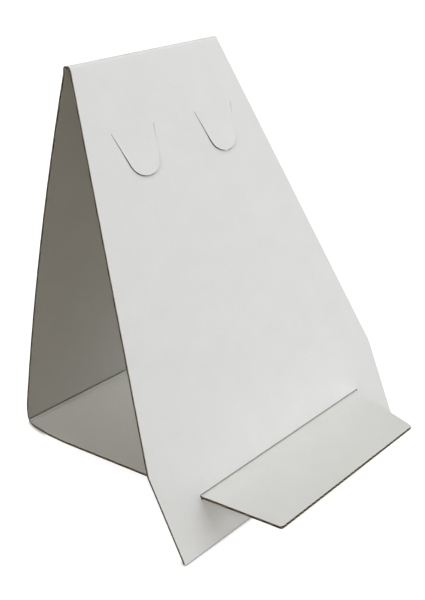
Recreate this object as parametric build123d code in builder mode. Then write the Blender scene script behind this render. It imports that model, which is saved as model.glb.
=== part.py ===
from build123d import *
import os
from math import asin, atan2, ceil, cos, radians, sin, tan

# A book stand folded from one sheet of white-lined corrugated board, in millimetres.
# +Z is up and the front faces -Y. The sheet runs up the front panel, over the ridge, down the back,
# round the rear fold and forward as the base. The end of the base comes out through a slot in the
# front panel and is the shelf that carries the book.

# Board: two liners with fluted paper between them. The flutes run along the strip, square to the
# folds, and are crushed shut beside each crease.
board_thickness = 1.8
liner_thickness = 0.3
flute_paper = 0.3
flute_pitch = 3.2
flute_web_angle = 42.0
flute_shift = 1.4
crush_length = 2.5
cut_kerf = 0.3
overrun = 3.0

# Stance: the slope of the two upright panels above the floor, and how far the springy back panel
# turns out of its mean slope at each end, because it bows outward
front_lean = 60.3
back_lean = 84.7
back_bow_angle = 4.5
bow_length_share = 0.95

# Front panel, measured up its outer face from the foot. The sheet is widest at the panel's hips, and
# the foot and the rear fold are a little narrower on each side.
front_length = 260.0
sheet_width = 183.0
foot_inset = 1.5
rear_inset = 0.5
hip_height = 52.0
hip_radius = 10.0
ridge_width = 101.2

# Folds: a double crease along the ridge and a single one at the rear
ridge_depth = 5.8
ridge_fold_radius = 0.3
rear_fold_radius = 2.4
crease_land = 1.2
back_hip_inset = 7.0
back_hip_radius = 60.0
base_hip_inset = 1.4
base_hip_radius = 165.0

# Shelf and the slot that it comes through, which is cut square to the front panel
slot_height = 25.4
slot_clearance = 0.2
shelf_depth = 48.0
shelf_root_width = 134.0
shelf_tip_width = 111.4
shelf_corner_radius = 2.0

# Two clip tongues, cut on three sides and still joined to the front panel along their upper edge.
# This hinge lies below the ridge, and the tongues stand a little out of the panel below it.
clip_drop = 37.6
clip_lift_angle = 2.0
clip_spacing = 57.0
clip_offset = 1.5
clip_width = 28.0
clip_tip_width = 15.6
clip_length = 26.0
clip_round_share = 0.97


def slope_down(angle):
    """The direction down a rearward panel that makes this angle with the floor."""
    return Vector(0, cos(radians(angle)), -sin(radians(angle)))


def slope_out(angle):
    """The outward direction of such a panel."""
    return Vector(0, sin(radians(angle)), cos(radians(angle)))


# Directions in the side view: along each panel, and out of its outer face
front_slope = radians(front_lean)
front_up = Vector(0, cos(front_slope), sin(front_slope))
front_out = Vector(0, -sin(front_slope), cos(front_slope))
back_out = slope_out(back_lean)
upper_down = slope_down(back_lean - back_bow_angle)
upper_out = slope_out(back_lean - back_bow_angle)
lower_down = slope_down(back_lean + back_bow_angle)
lower_out = slope_out(back_lean + back_bow_angle)
ridge_out = (front_out + upper_out).normalized()
ridge_along = Vector(0, ridge_out.Z, -ridge_out.Y)

# Corners of the outer face, with the foot's inner edge on the floor
foot = Vector(0, 0, board_thickness * cos(front_slope))
ridge_front = foot + front_up * front_length
ridge_rear = ridge_front + ridge_along * ridge_depth
bow_point = ridge_rear + upper_down * (ridge_rear.Z / 2 / -upper_down.Z)
slot_lip = foot + front_up * slot_height

# The rear fold rolls on the floor and is tangent to the back and to the base
rear_roll = rear_fold_radius + board_thickness
roll_height = rear_roll - bow_point.Z
roll_reach = (rear_roll + roll_height * lower_out.Z) / lower_out.Y
rear_centre = Vector(0, bow_point.Y - roll_reach, rear_roll)
to_roll = rear_centre - slot_lip
base_slope = atan2(to_roll.Z, to_roll.Y) - asin(rear_roll / to_roll.length)
base_back = Vector(0, cos(base_slope), sin(base_slope))
base_up = Vector(0, -sin(base_slope), cos(base_slope))

# Widths of the sheet, and where the flat panels end beside the folds
foot_width = sheet_width - 2 * foot_inset
rear_width = sheet_width - 2 * rear_inset
ridge_turn = radians(front_out.get_angle(ridge_out)) / 2
ridge_setback = (ridge_fold_radius + board_thickness) * tan(ridge_turn) + crease_land
front_run = front_length - ridge_setback
base_run = to_roll.dot(base_back) - crease_land

# The origin is on the floor, midway between the shelf's tip and the rear fold
shelf_tip = slot_lip - base_back * shelf_depth
middle = Vector(0, (shelf_tip.Y + rear_centre.Y + rear_roll) / 2, 0)
across = (1, 0, 0)
front_plane = Plane(foot - middle, x_dir=across, z_dir=front_out)
back_plane = Plane(ridge_rear - middle, x_dir=across, z_dir=back_out)
base_plane = Plane(slot_lip - middle, x_dir=across, z_dir=base_up)
back_length = (rear_centre - ridge_rear).dot(slope_down(back_lean))


def panel_outline(half_points):
    """The closed outline of a flat panel, from the corners of its right half in order along it."""
    left_points = [(-x, y) for x, y in reversed(half_points)]
    with BuildLine() as outline:
        Polyline(*half_points, *left_points, close=True)
    return outline.line


# Mid-line of the board from the front panel over the ridge, down the bowed back and round the rear
half_board = board_thickness / 2
ridge_inset = half_board / cos(ridge_turn)
rear_turn = radians(lower_out.get_angle(base_up * -1)) / 2
rear_mid_radius = rear_fold_radius + half_board
bow_turn = radians(back_bow_angle)
upper_run = (bow_point - ridge_rear).length
lower_run = (rear_centre - bow_point).dot(lower_down)
bow_reach = bow_length_share * min(upper_run, lower_run)
bow_radius = bow_reach / tan(bow_turn) - half_board
back_corners = [
    foot + front_up * front_run - front_out * half_board,
    ridge_front - (front_out + ridge_out).normalized() * ridge_inset,
    ridge_rear - (ridge_out + upper_out).normalized() * ridge_inset,
    bow_point - back_out * (half_board / cos(bow_turn)),
    rear_centre + (lower_out - base_up).normalized() * (rear_mid_radius / cos(rear_turn)),
    slot_lip + base_back * base_run + base_up * half_board,
]
ridge_mid_radius = ridge_fold_radius + half_board
back_radii = [ridge_mid_radius, ridge_mid_radius, bow_radius, rear_mid_radius]

# Flutes: long hollows under one liner and the other by turns, with the fluted paper winding between
# them. Those beyond the ridge's width come out at the tapered sides, and the others only at the ends.
flute_height = board_thickness - 2 * liner_thickness
hollow_height = flute_height - flute_paper
web_slope = radians(flute_web_angle)
hollow_width = flute_pitch / 2 + flute_height / tan(web_slope) - flute_paper / sin(web_slope)
hollow_count = ceil(sheet_width / flute_pitch)
hollow_steps = range(-hollow_count, hollow_count + 1)
hollow_places = [(flute_shift + step * flute_pitch / 2, step % 2) for step in hollow_steps]
side_hollows = [hollow for hollow in hollow_places if abs(hollow[0]) - hollow_width / 2 > ridge_width / 2]
middle_hollows = [hollow for hollow in hollow_places if hollow not in side_hollows]


def flute_section(start, run, hollows):
    """Hollows across the board, from a point on its outer face, square to the way that they run."""
    with BuildSketch(Plane(start, x_dir=across, z_dir=run)) as section:
        for row, liner_face in enumerate((liner_thickness, board_thickness - liner_thickness)):
            with Locations([(place, liner_face) for place, place_row in hollows if place_row == row]):
                Trapezoid(
                    hollow_width,
                    hollow_height,
                    flute_web_angle,
                    rotation=180 * row,
                    align=(Align.CENTER, Align.MIN),
                )
    return section.sketch


# The base leans against the square-cut slot, so the slot is longer than the board is thick
slot_tilt = radians(front_out.get_angle(base_back * -1))
slot_gap = board_thickness / cos(slot_tilt) + board_thickness * tan(slot_tilt)

# The tongues swing out about the inner edge of their hinge
clip_side_turn = atan2(clip_length, (clip_width - clip_tip_width) / 2) / 2
clip_tip_radius = clip_round_share * clip_tip_width / 2 / tan(clip_side_turn)
clip_height = front_length - clip_drop
clip_centres = [clip_offset - clip_spacing / 2, clip_offset + clip_spacing / 2]
clip_lift = radians(clip_lift_angle)
clip_hinge = foot + front_up * clip_height - front_out * board_thickness
clip_out = front_out * cos(clip_lift) + front_up * sin(clip_lift)
clip_plane = Plane(clip_hinge - middle, x_dir=across, z_dir=clip_out)


def clip_cut(centre, hinge_height):
    """The U-shaped cut round one tongue, from one end of its hinge to the other."""
    with BuildLine() as cut:
        FilletPolyline(
            (centre - clip_width / 2, hinge_height),
            (centre - clip_tip_width / 2, hinge_height - clip_length),
            (centre + clip_tip_width / 2, hinge_height - clip_length),
            (centre + clip_width / 2, hinge_height),
            radius=clip_tip_radius,
        )
    return cut.line


def tongue_outline(cut):
    """The closed outline of a tongue, from the cut round it and the hinge between the cut's ends."""
    with BuildLine() as outline:
        add(cut)
        Line(cut @ 1, cut @ 0)
    return outline.line


with BuildPart() as front_panel:
    # A straight-sided foot strip below the hip, tapering from there to the ridge
    with BuildSketch(front_plane) as front_outline:
        make_face(
            panel_outline(
                [
                    (foot_width / 2, 0),
                    (sheet_width / 2, hip_height),
                    (ridge_width / 2, front_run),
                ]
            )
        )
        fillet(front_outline.vertices().group_by(Axis.Y)[1], radius=hip_radius)
    extrude(amount=-board_thickness)

    # Flutes: those at the sides run up to the ridge, and the others from the foot to the slot
    foot_start = foot - middle - front_up * overrun
    extrude(
        flute_section(foot_start, front_up, side_hollows),
        amount=overrun + front_run - crush_length,
        mode=Mode.SUBTRACT,
    )
    extrude(
        flute_section(foot_start, front_up, middle_hollows),
        amount=overrun + slot_height + slot_gap / 2,
        mode=Mode.SUBTRACT,
    )

    # Slot for the shelf
    with BuildSketch(front_plane):
        with Locations((0, slot_height + slot_gap / 2)):
            Rectangle(shelf_root_width + 2 * slot_clearance, slot_gap + 2 * slot_clearance)
    extrude(amount=board_thickness + overrun, both=True, mode=Mode.SUBTRACT)

    # The openings that the clip tongues leave in the panel
    with BuildSketch(front_plane):
        for centre in clip_centres:
            cut = clip_cut(centre, clip_height)
            make_face(tongue_outline(cut))
            trace(cut, line_width=cut_kerf)
    extrude(amount=board_thickness + overrun, both=True, mode=Mode.SUBTRACT)

    # The tongues, narrower than their openings by the cut
    with BuildSketch(clip_plane):
        for centre in clip_centres:
            cut = clip_cut(centre, 0)
            make_face(tongue_outline(cut))
            trace(cut, line_width=cut_kerf, mode=Mode.SUBTRACT)
    extrude(amount=board_thickness)

with BuildPart() as back_panel:
    # The bent strip from the ridge to the rear fold
    with BuildSketch(Plane.YZ):
        with BuildLine():
            FilletPolyline(*[((corner - middle).Y, corner.Z) for corner in back_corners], radius=back_radii)
        trace(line_width=board_thickness)
    extrude(amount=rear_width / 2, both=True)

    # Its outline: narrow at the ridge, widening to the rear fold
    with BuildSketch(back_plane) as back_outline:
        make_face(
            panel_outline(
                [
                    (ridge_width / 2, -back_length),
                    (ridge_width / 2, ridge_setback),
                    (rear_width / 2, back_length - back_hip_inset),
                    (rear_width / 2, 2 * back_length),
                ]
            )
        )
        fillet(back_outline.vertices().group_by(Axis.Y)[-2], radius=back_hip_radius)
    extrude(amount=back_length, both=True, mode=Mode.INTERSECT)

    # Flutes at the sides, round the bow. Those between them are shut in by the two folds.
    bow_centre = bow_point - back_out * ((bow_radius + half_board) / cos(bow_turn))
    revolve(
        flute_section(bow_point - upper_down * bow_reach - middle, upper_down, side_hollows),
        axis=Axis(bow_centre - middle, Vector(across) * -1),
        revolution_arc=2 * back_bow_angle,
        mode=Mode.SUBTRACT,
    )

# The base's hips curve in from beside the rear fold, and the straight taper from the slot runs into them
hip_start = base_run - base_hip_inset
to_hip_centre = Vector((rear_width - shelf_root_width) / 2 - base_hip_radius, hip_start - slot_gap)
base_taper = atan2(to_hip_centre.X, to_hip_centre.Y) + asin(base_hip_radius / to_hip_centre.length)
base_hip = hip_start - base_hip_radius * tan(base_taper / 2)

with BuildPart() as base_panel:
    # Base and shelf, one flat panel that passes through the slot
    with BuildSketch(base_plane) as base_outline:
        make_face(
            panel_outline(
                [
                    (shelf_tip_width / 2, -shelf_depth),
                    (shelf_root_width / 2, slot_gap),
                    (rear_width / 2, base_hip),
                    (rear_width / 2, base_run),
                ]
            )
        )
        fillet(base_outline.vertices().group_by(Axis.Y)[0], radius=shelf_corner_radius)
        fillet(base_outline.vertices().group_by(Axis.Y)[-2], radius=base_hip_radius)
    extrude(amount=board_thickness)

    # Flutes, open along the tapered sides and at the shelf's tip
    flute_run = base_run - crush_length
    extrude(
        flute_section(slot_lip + base_back * flute_run - middle, base_back * -1, hollow_places),
        amount=flute_run + shelf_depth + overrun,
        mode=Mode.SUBTRACT,
    )

# One sheet: the three lengths of board run into each other at the folds
with BuildPart() as folded_stand:
    add([front_panel.part, back_panel.part, base_panel.part])

os.makedirs("parts", exist_ok=True)
folded_stand.part.label = "folded_stand"
export_step(folded_stand.part, "parts/folded_stand.step")
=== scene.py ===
import math

import bpy
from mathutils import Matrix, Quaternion, Vector
from mathutils.geometry import delaunay_2d_cdt


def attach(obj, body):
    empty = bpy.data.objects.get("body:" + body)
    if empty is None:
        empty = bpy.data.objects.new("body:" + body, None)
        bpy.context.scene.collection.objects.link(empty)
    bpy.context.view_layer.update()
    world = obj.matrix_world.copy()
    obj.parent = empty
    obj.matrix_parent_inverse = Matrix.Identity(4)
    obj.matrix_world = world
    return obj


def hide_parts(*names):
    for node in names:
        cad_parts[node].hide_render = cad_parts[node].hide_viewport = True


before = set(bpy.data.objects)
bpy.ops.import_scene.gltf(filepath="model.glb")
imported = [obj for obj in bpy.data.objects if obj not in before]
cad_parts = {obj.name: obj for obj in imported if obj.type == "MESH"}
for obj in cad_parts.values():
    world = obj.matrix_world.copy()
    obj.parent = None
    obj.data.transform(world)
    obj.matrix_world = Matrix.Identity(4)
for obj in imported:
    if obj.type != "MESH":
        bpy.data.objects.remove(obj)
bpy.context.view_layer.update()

MM = 0.001

# Sizes of the sheet, in millimetres and degrees, as in the part's source
board_thickness = 1.8
front_lean = 60.3
back_lean = 84.7
back_bow_angle = 4.5
bow_length_share = 0.95
front_length = 260.0
foot_width = 180.0
hip_width = 183.0
hip_height = 52.0
hip_radius = 10.0
ridge_width = 101.2
ridge_depth = 5.8
ridge_fold_radius = 0.3
rear_fold_radius = 2.4
crease_land = 1.2
rear_width = 182.0
back_hip_inset = 7.0
back_hip_radius = 60.0
base_hip_inset = 1.4
base_hip_radius = 165.0
slot_height = 25.4
slot_clearance = 0.2
shelf_depth = 48.0
shelf_root_width = 134.0
shelf_tip_width = 111.4
shelf_corner_radius = 2.0
clip_height = 222.4
clip_spacing = 57.0
clip_offset = 1.5
clip_width = 28.0
clip_tip_width = 15.6
clip_length = 26.0
clip_round_share = 0.97

# The board in section: two liners and the fluted paper between them
liner_thickness = 0.17
flute_paper = 0.22
flute_pitch = 3.2
flute_shift = 1.4
least_wave = 0.05

# Looks of the cuts, tongues and folds; each groove has its place from the rear fold's middle and its depth
cut_kerf = 0.24
clip_lift = 0.9
ridge_pinch = 0.75
ridge_pinch_width = 0.8
rear_grooves = ((-1.7, 1.3), (1.5, 0.4))
rear_groove_width = 0.6
# Half-width of the painted shade line on the inner liner along the rear fold's first groove
crease_shade_reach = 0.45
rear_bead = 0.2
rear_bead_width = 0.9

# Fineness of the mesh
arc_step = math.radians(9)
bow_step = 9.0
fold_step = 0.2
fold_steps = 16
slot_margin = 6.0
least_line_gap = 0.1
line_overhang = 1.0
merge_distance = 1e-6
flute_steps = 8
least_flute_gap = 0.02
flute_nudge = 1e-4
across_digits = 3
along_digits = 4
sharp_angle = math.radians(40)

# Papers: name, light and dark colour, scale of the clouds, roughness and strength of the tooth
papers = (
    ("white_liner", (0.815, 0.815, 0.803), (0.785, 0.785, 0.770), 60.0, 0.8, 0.25),
    ("inner_liner", (0.74, 0.734, 0.707), (0.71, 0.704, 0.678), 60.0, 0.8, 0.25),
    # Painted shade: a darker copy of the inner liner, for the dark line in the rear fold's first groove
    ("crease_shaded_liner", (0.52, 0.515, 0.495), (0.48, 0.475, 0.455), 60.0, 0.8, 0.25),
    ("liner_core", (0.46, 0.41, 0.32), (0.38, 0.34, 0.26), 300.0, 0.9, 0.3),
    # Fluted paper: kraft brown, darkened further as painted shade of the hollows between the flutes
    ("shaded_fluted_paper", (0.14, 0.117, 0.080), (0.095, 0.078, 0.054), 300.0, 0.9, 0.4),
    ("flute_ends", (0.60, 0.51, 0.37), (0.48, 0.41, 0.29), 300.0, 0.9, 0.4),
)
FACE, REVERSE, CREASE_SHADE, CORE, SHADED_FLUTE, FLUTE_END = range(len(papers))
paper_specular = 0.25
fibre_scale = 900.0
fibre_share = 0.4
dark_end = 0.45
light_end = 0.95
tooth_height = 0.0001


class RoundedPath:
    """Straight runs from corner to corner, with a tangent arc of its own radius at each inner corner."""

    def __init__(self, corners, radii):
        self.pieces = []
        self.length = 0.0
        point = corners[0].copy()
        for index, corner in enumerate(corners[1:]):
            ahead = (corner - point).normalized()
            heading = math.atan2(ahead.y, ahead.x)
            turn, radius = 0.0, 0.0
            if index < len(radii):
                after = corners[index + 2] - corner
                turn = math.remainder(math.atan2(after.y, after.x) - heading, math.tau)
                radius = radii[index]
            run = (corner - point).length - radius * math.tan(abs(turn) / 2)
            self.add(point, heading, run, 0.0)
            point = self.end()
            if radius and turn:
                self.add(point, heading, radius * abs(turn), math.copysign(1 / radius, turn))
                point = self.end()

    def add(self, point, heading, length, bend):
        self.pieces.append((self.length, length, point, heading, bend))
        self.length += length

    def end(self):
        return self.at(self.length)[0]

    def at(self, distance):
        """The point and the heading at a distance along the path."""
        for start, length, point, heading, bend in self.pieces:
            if distance <= start + length:
                break
        along = distance - start
        if not bend:
            return point + Vector((math.cos(heading), math.sin(heading))) * along, heading
        turned = heading + bend * along
        swing = Vector((math.sin(turned) - math.sin(heading), math.cos(heading) - math.cos(turned)))
        return point + swing / bend, turned

    def stations(self, longest=math.inf):
        """Distances that divide the arcs finely and the straight runs not at all."""
        found = [0.0]
        for start, length, _, _, bend in self.pieces:
            parts = 1
            if bend:
                parts = max(math.ceil(length * abs(bend) / arc_step), math.ceil(length / longest))
            found += [start + length * (i + 1) / parts for i in range(parts)]
        return found

    def points(self):
        return [self.at(distance)[0] for distance in self.stations()]

    def arcs(self):
        """The distances at the middle of each arc."""
        return [start + length / 2 for start, length, _, _, bend in self.pieces if bend]


def slanted(angle, rise):
    """A unit vector in the side view that goes back, and up or down, at an angle to the floor."""
    return Vector((math.cos(math.radians(angle)), rise * math.sin(math.radians(angle))))


def left_of(direction):
    return Vector((-direction.y, direction.x))


# The side view: depth and height in place of x and y
front_up = slanted(front_lean, 1)
front_out = left_of(front_up)
back_out = left_of(slanted(back_lean, -1))
upper_down = slanted(back_lean - back_bow_angle, -1)
upper_out = left_of(upper_down)
lower_down = slanted(back_lean + back_bow_angle, -1)
lower_out = left_of(lower_down)
ridge_out = (front_out + upper_out).normalized()
ridge_along = -left_of(ridge_out)

foot = Vector((0, board_thickness * front_up.x))
ridge_front = foot + front_up * front_length
ridge_rear = ridge_front + ridge_along * ridge_depth
bow_point = ridge_rear + upper_down * (ridge_rear.y / 2 / -upper_down.y)
slot_lip = foot + front_up * slot_height

rear_roll = rear_fold_radius + board_thickness
roll_height = rear_roll - bow_point.y
roll_reach = (rear_roll + roll_height * lower_out.y) / lower_out.x
rear_centre = Vector((bow_point.x - roll_reach, rear_roll))
to_roll = rear_centre - slot_lip
base_slope = math.atan2(to_roll.y, to_roll.x) - math.asin(rear_roll / to_roll.length)
base_back = Vector((math.cos(base_slope), math.sin(base_slope)))
base_up = left_of(base_back)
shelf_tip = slot_lip - base_back * shelf_depth
middle = Vector(((shelf_tip.x + rear_centre.x + rear_roll) / 2, 0))

# The board's mid-line, from the foot over the ridge, down the back and forward to the shelf's tip
half_board = board_thickness / 2
ridge_turn = front_out.angle(ridge_out) / 2
rear_turn = lower_out.angle(-base_up) / 2
bow_turn = math.radians(back_bow_angle)
ridge_inset = half_board / math.cos(ridge_turn)
rear_mid_radius = rear_fold_radius + half_board
ridge_mid_radius = ridge_fold_radius + half_board
upper_run = (bow_point - ridge_rear).length
lower_run = (rear_centre - bow_point).dot(lower_down)
bow_radius = bow_length_share * min(upper_run, lower_run) / math.tan(bow_turn) - half_board
ridge_setback = (ridge_fold_radius + board_thickness) * math.tan(ridge_turn) + crease_land
midline = RoundedPath(
    [
        foot - front_out * half_board - middle,
        ridge_front - (front_out + ridge_out).normalized() * ridge_inset - middle,
        ridge_rear - (ridge_out + upper_out).normalized() * ridge_inset - middle,
        bow_point - back_out * (half_board / math.cos(bow_turn)) - middle,
        rear_centre + (lower_out - base_up).normalized() * (rear_mid_radius / math.cos(rear_turn)) - middle,
        shelf_tip + base_up * half_board - middle,
    ],
    [ridge_mid_radius, ridge_mid_radius, bow_radius, rear_mid_radius],
)
ridge_crease_1, ridge_crease_2, _, rear_crease = midline.arcs()

# The sheet laid flat: x across, y along the mid-line
slot_tilt = front_out.angle(-base_back)
slot_gap = board_thickness / math.cos(slot_tilt) + board_thickness * math.tan(slot_tilt)
back_start = ridge_crease_2 + ridge_setback
base_slot = midline.length - shelf_depth - slot_gap
hip_start = rear_crease + rear_mid_radius * rear_turn + crease_land + base_hip_inset
to_hip_centre = Vector(((rear_width - shelf_root_width) / 2 - base_hip_radius, base_slot - hip_start))
base_taper = math.atan2(to_hip_centre.x, to_hip_centre.y)
base_taper += math.asin(base_hip_radius / to_hip_centre.length)
base_hip = hip_start + base_hip_radius * math.tan(base_taper / 2)
half_outline = RoundedPath(
    [
        Vector((foot_width / 2, 0)),
        Vector((hip_width / 2, hip_height)),
        Vector((ridge_width / 2, front_length - ridge_setback)),
        Vector((ridge_width / 2, back_start)),
        Vector((rear_width / 2, rear_crease - rear_mid_radius * rear_turn - back_hip_inset)),
        Vector((rear_width / 2, base_hip)),
        Vector((shelf_root_width / 2, base_slot)),
        Vector((shelf_tip_width / 2, midline.length)),
        Vector((0, midline.length)),
    ],
    [hip_radius, 0, 0, back_hip_radius, base_hip_radius, 0, shelf_corner_radius],
)


def mirrored(half):
    """A closed loop from the points of its right half."""
    return half + [Vector((-p.x, p.y)) for p in reversed(half) if p.x > 0]


def slot_loop():
    side = shelf_root_width / 2 + slot_clearance
    low = slot_height - slot_clearance
    high = slot_height + slot_gap + slot_clearance
    return mirrored([Vector((side, low)), Vector((side, high))])


def clip_path(centre):
    """The middle of the U-shaped cut round one tongue."""
    side, tip, low = clip_width / 2, clip_tip_width / 2, clip_height - clip_length
    side_turn = math.atan2(clip_length, side - tip) / 2
    radius = clip_round_share * tip / math.tan(side_turn)
    return RoundedPath(
        [
            Vector((centre - side, clip_height)),
            Vector((centre - tip, low)),
            Vector((centre + tip, low)),
            Vector((centre + side, clip_height)),
        ],
        [radius, radius],
    )


def kerf_loop(path):
    """The narrow loop that a cut of the kerf's width along a path leaves."""
    sides = []
    for side in (-1, 1):
        row = []
        for distance in path.stations():
            point, heading = path.at(distance)
            row.append(point + Vector((-math.sin(heading), math.cos(heading))) * (side * cut_kerf / 2))
        sides.append(row)
    return sides[0] + sides[1][::-1]


clip_paths = [clip_path(clip_offset + side * clip_spacing / 2) for side in (-1, 1)]
clip_tongues = [path.points() for path in clip_paths]
outline = mirrored(half_outline.points())
loops = [outline, slot_loop()] + [kerf_loop(path) for path in clip_paths]


def crossings(across, loop):
    """The places along the strip where a line along it crosses a loop."""
    found = []
    for a, b in zip(loop, loop[1:] + loop[:1]):
        if (a.x <= across) != (b.x <= across):
            found.append(a.y + (across - a.x) / (b.x - a.x) * (b.y - a.y))
    return found


def inside(point, shapes):
    """Whether a point lies in an odd number of loops, so in the sheet and not in a hole."""
    below = [y for shape in shapes for y in crossings(point.x, shape) if y < point.y]
    return len(below) % 2 == 1


def bell(distance, width):
    return math.exp(-((distance / width) ** 2))


def lift(across, along):
    """How far a tongue stands out of the front panel."""
    for tongue in clip_tongues:
        if along < clip_height and inside(Vector((across, along)), [tongue]):
            return clip_lift * (clip_height - along) / clip_length
    return 0.0


def outer_face(along):
    """The outer liner is plain: the same height over the mid-line all along."""
    return half_board


def inner_face(along):
    """The inner liner is pinched at the ridge's creases, and grooved and beaded in the rear fold."""
    from_fold = along - rear_crease
    pinch = sum(bell(along - crease, ridge_pinch_width) for crease in (ridge_crease_1, ridge_crease_2))
    groove = sum(depth * bell(from_fold - offset, rear_groove_width) for offset, depth in rear_grooves)
    bead = bell(from_fold, rear_bead_width)
    return -half_board + ridge_pinch * pinch + groove - rear_bead * bead


def placed(across, along, out):
    """A point of the folded sheet, in metres, from its place on the flat one and over the mid-line."""
    point, heading = midline.at(along)
    depth = point.x - math.sin(heading) * out
    height = point.y + math.cos(heading) * out
    return Vector((across, depth, height)) * MM


class MeshParts:
    """Vertices and faces of one piece, with a material number for each face."""

    def __init__(self):
        self.vertices = []
        self.faces = []
        self.materials = []

    def point(self, across, along, out):
        self.vertices.append(placed(across, along, out))
        return len(self.vertices) - 1

    def face(self, corners, material):
        self.faces.append(corners)
        self.materials.append(material)


def fold_lines():
    """Places along the strip where the flat triangles are split, so that they bend round the folds."""
    lines = midline.stations(bow_step)[1:-1]
    for crease in (ridge_crease_1, ridge_crease_2, rear_crease):
        lines += [crease + offset * fold_step for offset in range(-fold_steps, fold_steps + 1)]
    lines += [hip_height, slot_height - slot_margin, slot_height + slot_gap + slot_margin, clip_height]
    lines.sort()
    kept = lines[:1]
    for line in lines[1:]:
        if line - kept[-1] > least_line_gap:
            kept.append(line)
    return kept


def flat_triangles():
    """The flat sheet with its cuts, as points and triangles."""
    points = []
    edges = []
    for loop in loops:
        first = len(points)
        points += loop
        edges += [(first + i, first + (i + 1) % len(loop)) for i in range(len(loop))]
    reach = hip_width / 2 + line_overhang
    splits = [(Vector((-reach, line)), Vector((reach, line))) for line in fold_lines()]
    splits += [(path.at(0)[0], path.end()) for path in clip_paths]
    for start, end in splits:
        edges.append((len(points), len(points) + 1))
        points += [start, end]
    points, _, triangles, *_ = delaunay_2d_cdt(points, edges, [], 0, merge_distance)
    kept = []
    for triangle in triangles:
        centre = sum((points[i] for i in triangle), Vector((0, 0))) / 3
        if inside(centre, loops):
            kept.append(tuple(triangle))
    return points, kept


def add_liner(parts, points, triangles, face_height, side):
    """One liner: its outer face, its hidden face and the cut edge between them."""
    used = sorted({i for triangle in triangles for i in triangle})
    outer, hidden = {}, {}
    for i in used:
        across, along = points[i]
        raised = face_height(along) + lift(across, along)
        outer[i] = parts.point(across, along, raised)
        hidden[i] = parts.point(across, along, raised - side * liner_thickness)
    first_groove = rear_crease + rear_grooves[0][0]
    for triangle in triangles:
        ring = triangle if side > 0 else triangle[::-1]
        along = sum(points[i].y for i in triangle) / 3
        # Faces of the inner liner along the rear fold's first groove get the painted shade paper
        inner_paper = CREASE_SHADE if abs(along - first_groove) < crease_shade_reach else REVERSE
        parts.face([outer[i] for i in ring], FACE if side > 0 else inner_paper)
        # The liners' hidden faces toward the flutes also take the fluted paper's painted-shade colour
        parts.face([hidden[i] for i in reversed(ring)], SHADED_FLUTE)
    edges = dict.fromkeys(edge for a, b, c in triangles for edge in ((a, b), (b, c), (c, a)))
    for a, b in edges:
        if (b, a) not in edges:
            wall = [outer[b], outer[a], hidden[a], hidden[b]]
            parts.face(wall if side > 0 else wall[::-1], CORE)


def flute_places():
    """Lines across the sheet for the fluted paper, with each corner of the outline among them."""
    count = math.ceil(hip_width / flute_pitch * flute_steps / 2)
    places = [flute_shift + i * flute_pitch / flute_steps for i in range(-count, count + 1)]
    for loop in loops:
        places += [point.x for point in loop]
    places.sort()
    limit = max(point.x for point in outline)
    kept = [-limit]
    for place in places:
        if place - kept[-1] > least_flute_gap and place < limit - least_flute_gap:
            kept.append(place)
    return kept + [limit]


def strip_runs(across):
    """The stretches of the sheet on a line along the strip."""
    ends = sorted(y for loop in loops for y in crossings(across, loop))
    return list(zip(ends[::2], ends[1::2]))


def wave(across, along, side):
    """The height of one side of the fluted paper over the mid-line."""
    high = outer_face(along) - liner_thickness
    low = inner_face(along) + liner_thickness
    reach = max(high - low - flute_paper, least_wave) / 2
    phase = math.tau * (across - flute_shift) / flute_pitch
    steep = math.tau / flute_pitch * reach * math.sin(phase)
    raised = (high + low) / 2 - reach * math.cos(phase) + lift(across, along)
    return raised + side * flute_paper / 2 * math.sqrt(1 + steep**2)


def strip_triangles(a, b):
    """Triangles between two rows of points that run along the strip side by side."""
    i = j = 0
    while i < len(a) - 1 or j < len(b) - 1:
        if j == len(b) - 1 or (i < len(a) - 1 and a[i + 1][1] <= b[j + 1][1]):
            yield a[i], b[j], a[i + 1]
            i += 1
        else:
            yield a[i], b[j], b[j + 1]
            j += 1


def add_flutes(parts):
    """The fluted paper, as a sheet of columns that wind between the liners."""
    lines = fold_lines()
    made = {}

    def corner(across, along, side):
        key = (round(across, across_digits), round(along, along_digits), side)
        if key not in made:
            made[key] = parts.point(across, along, wave(across, along, side))
        return made[key]

    def row(across, low, high):
        inner = [line for line in lines if low + least_flute_gap < line < high - least_flute_gap]
        return [(across, along) for along in [low, *inner, high]]

    rim = {}
    places = flute_places()
    for left, right in zip(places, places[1:]):
        left_runs = strip_runs(left + flute_nudge)
        right_runs = strip_runs(right - flute_nudge)
        if len(left_runs) != len(right_runs):
            left_runs = right_runs = strip_runs((left + right) / 2)
        for left_run, right_run in zip(left_runs, right_runs):
            for triangle in strip_triangles(row(left, *left_run), row(right, *right_run)):
                parts.face([corner(*point, 1) for point in triangle], SHADED_FLUTE)
                parts.face([corner(*point, -1) for point in reversed(triangle)], SHADED_FLUTE)
                for start, end in zip(triangle, triangle[1:] + triangle[:1]):
                    rim[(corner(*start, 1), corner(*end, 1))] = (corner(*start, -1), corner(*end, -1))
    for (start, end), (low_start, low_end) in rim.items():
        if (end, start) not in rim:
            parts.face([end, start, low_start, low_end], FLUTE_END)


def node(tree, kind, **values):
    """A new shader node, with its values set on its inputs or as its own settings."""
    made = tree.nodes.new(kind)
    for name, value in values.items():
        if name in made.inputs:
            made.inputs[name].default_value = value
        else:
            setattr(made, name, value)
    return made


def add_object(name, data):
    made = bpy.data.objects.new(name, data)
    bpy.context.scene.collection.objects.link(made)
    return made


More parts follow.
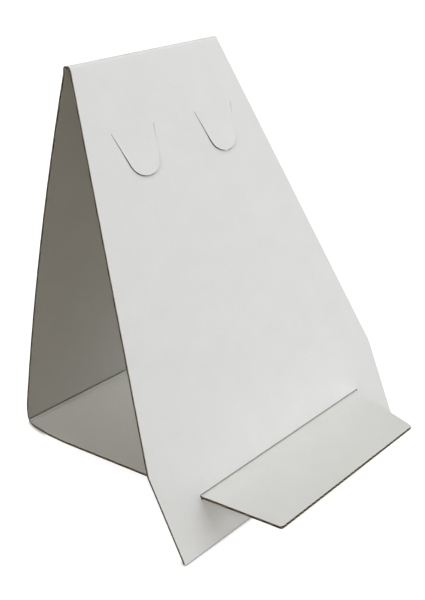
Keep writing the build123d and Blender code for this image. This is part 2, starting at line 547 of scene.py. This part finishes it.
def paper(name, light, dark, cloud_scale, roughness, tooth_strength):
    """A matte paper: soft clouds and fine fibre in its colour, and a faint tooth."""
    material = bpy.data.materials.new(name)
    material.use_nodes = True
    tree = material.node_tree
    links = tree.links
    shader = tree.nodes["Principled BSDF"]
    shader.inputs["Roughness"].default_value = roughness
    shader.inputs["Specular IOR Level"].default_value = paper_specular
    place = node(tree, "ShaderNodeTexCoord")
    clouds = node(tree, "ShaderNodeTexNoise", Scale=cloud_scale, Detail=4.0, Roughness=0.6)
    fibre = node(tree, "ShaderNodeTexNoise", Scale=fibre_scale, Detail=3.0, Roughness=0.7)
    blend = node(tree, "ShaderNodeMath", operation="MULTIPLY_ADD")
    blend.inputs[1].default_value = fibre_share
    shades = node(tree, "ShaderNodeValToRGB")
    ends = shades.color_ramp.elements
    ends[0].position = dark_end
    ends[0].color = (*dark, 1)
    ends[1].position = light_end
    ends[1].color = (*light, 1)
    tooth = node(tree, "ShaderNodeBump", Strength=tooth_strength, Distance=tooth_height)
    links.new(place.outputs["Object"], clouds.inputs["Vector"])
    links.new(place.outputs["Object"], fibre.inputs["Vector"])
    links.new(fibre.outputs["Fac"], blend.inputs[0])
    links.new(clouds.outputs["Fac"], blend.inputs[2])
    links.new(blend.outputs["Value"], shades.inputs["Fac"])
    links.new(shades.outputs["Color"], shader.inputs["Base Color"])
    links.new(fibre.outputs["Fac"], tooth.inputs["Height"])
    links.new(tooth.outputs["Normal"], shader.inputs["Normal"])
    return material


def build_board():
    parts = MeshParts()
    points, triangles = flat_triangles()
    add_liner(parts, points, triangles, outer_face, 1)
    add_liner(parts, points, triangles, inner_face, -1)
    add_flutes(parts)
    mesh = bpy.data.meshes.new("board")
    mesh.from_pydata(parts.vertices, [], parts.faces)
    for kind in papers:
        mesh.materials.append(paper(*kind))
    mesh.polygons.foreach_set("material_index", parts.materials)
    mesh.polygons.foreach_set("use_smooth", [True] * len(parts.faces))
    mesh.set_sharp_from_angle(angle=sharp_angle)
    mesh.update()
    return add_object("board", mesh)


board = build_board()
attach(board, "root")
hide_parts("folded_stand")

# Stage: a floor that is white to the camera, darker close to the object, and warm in its own light
floor_size = 8.0
floor_bounce = (0.40, 0.3625, 0.3075, 1)
floor_seen = (0.5, 0.5, 0.5, 1)
floor_glow = 0.86
contact_reach = 0.0025
contact_depth = 2.2


def build_floor():
    half = floor_size / 2
    corners = [(-half, -half, 0), (half, -half, 0), (half, half, 0), (-half, half, 0)]
    mesh = bpy.data.meshes.new("floor")
    mesh.from_pydata(corners, [], [(0, 1, 2, 3)])
    material = bpy.data.materials.new("floor")
    material.use_nodes = True
    tree = material.node_tree
    tree.nodes.clear()
    links = tree.links
    bounce = node(tree, "ShaderNodeBsdfDiffuse", Color=floor_bounce)
    seen = node(tree, "ShaderNodeBsdfDiffuse", Color=floor_seen)
    contact = node(tree, "ShaderNodeAmbientOcclusion", Distance=contact_reach)
    deepen = node(tree, "ShaderNodeGamma", Gamma=contact_depth)
    glow = node(tree, "ShaderNodeEmission", Strength=floor_glow)
    path = node(tree, "ShaderNodeLightPath")
    both = node(tree, "ShaderNodeAddShader")
    pick = node(tree, "ShaderNodeMixShader")
    out = node(tree, "ShaderNodeOutputMaterial")
    links.new(contact.outputs["Color"], deepen.inputs["Color"])
    links.new(deepen.outputs["Color"], glow.inputs["Color"])
    links.new(seen.outputs["BSDF"], both.inputs[0])
    links.new(glow.outputs["Emission"], both.inputs[1])
    links.new(path.outputs["Is Camera Ray"], pick.inputs[0])
    links.new(bounce.outputs["BSDF"], pick.inputs[1])
    links.new(both.outputs["Shader"], pick.inputs[2])
    links.new(pick.outputs["Shader"], out.inputs["Surface"])
    mesh.materials.append(material)
    return add_object("floor", mesh)


build_floor()

# Lights: a low soft key in front, a high one on the right, a fill on the left and one for the back
light_target = Vector((0, 0, 0.1))


def add_light(name, turn, rise, distance, size, power, colour):
    """A square soft light, turned from the front towards the right and raised, in degrees."""
    turn, rise = math.radians(turn), math.radians(rise)
    towards = Vector((math.sin(turn) * math.cos(rise), -math.cos(turn) * math.cos(rise), math.sin(rise)))
    light = bpy.data.lights.new(name, "AREA")
    light.size = size
    light.energy = power
    light.color = colour
    lamp = add_object(name, light)
    lamp.location = light_target + towards * distance
    lamp.rotation_euler = (-towards).to_track_quat("-Z", "Y").to_euler()


add_light("key", 27, 12, 1.15, 0.7, 6.45, (0.93, 0.94, 1.0))
add_light("right", 80, 65, 1.5, 1.2, 12.7, (0.90, 0.97, 1.0))
add_light("left", -85, 45, 1.5, 0.8, 7.65, (1.0, 0.995, 0.95))
add_light("rear", 180, 10, 1.5, 0.5, 8.5, (0.96, 0.98, 1.0))

# World: white to the camera, and a faint warm light to the object
ambient_level = 0.117
ambient_colour = (1, 0.875, 0.69, 1)


def build_world():
    world = bpy.data.worlds.new("studio")
    world.use_nodes = True
    tree = world.node_tree
    tree.nodes.clear()
    ambient = node(tree, "ShaderNodeBackground", Color=ambient_colour, Strength=ambient_level)
    white = node(tree, "ShaderNodeBackground", Color=(1, 1, 1, 1), Strength=1.0)
    path = node(tree, "ShaderNodeLightPath")
    pick = node(tree, "ShaderNodeMixShader")
    out = node(tree, "ShaderNodeOutputWorld")
    tree.links.new(path.outputs["Is Camera Ray"], pick.inputs[0])
    tree.links.new(ambient.outputs["Background"], pick.inputs[1])
    tree.links.new(white.outputs["Background"], pick.inputs[2])
    tree.links.new(pick.outputs["Shader"], out.inputs["Surface"])
    return world


bpy.context.scene.world = build_world()

# Camera, placed in millimetres from the middle of the foot's outer edge
camera_offset = Vector((-254.3, -198.8, 322.2))
camera_heading = Vector((0.57652, 0.62565, -0.52554))
camera_roll = 0.0017
camera_lens = 44.59
camera_sensor = 36.0

camera_data = bpy.data.cameras.new("camera")
camera_data.lens = camera_lens
camera_data.sensor_width = camera_sensor
camera = add_object("camera", camera_data)
foot_place = foot - middle
camera.location = (Vector((0, foot_place.x, foot_place.y)) + camera_offset) * MM
camera_turn = camera_heading.to_track_quat("-Z", "Y") @ Quaternion((0, 0, 1), camera_roll)
camera.rotation_euler = camera_turn.to_euler()
bpy.context.scene.camera = camera

bpy.context.scene.view_settings.view_transform = "Standard"
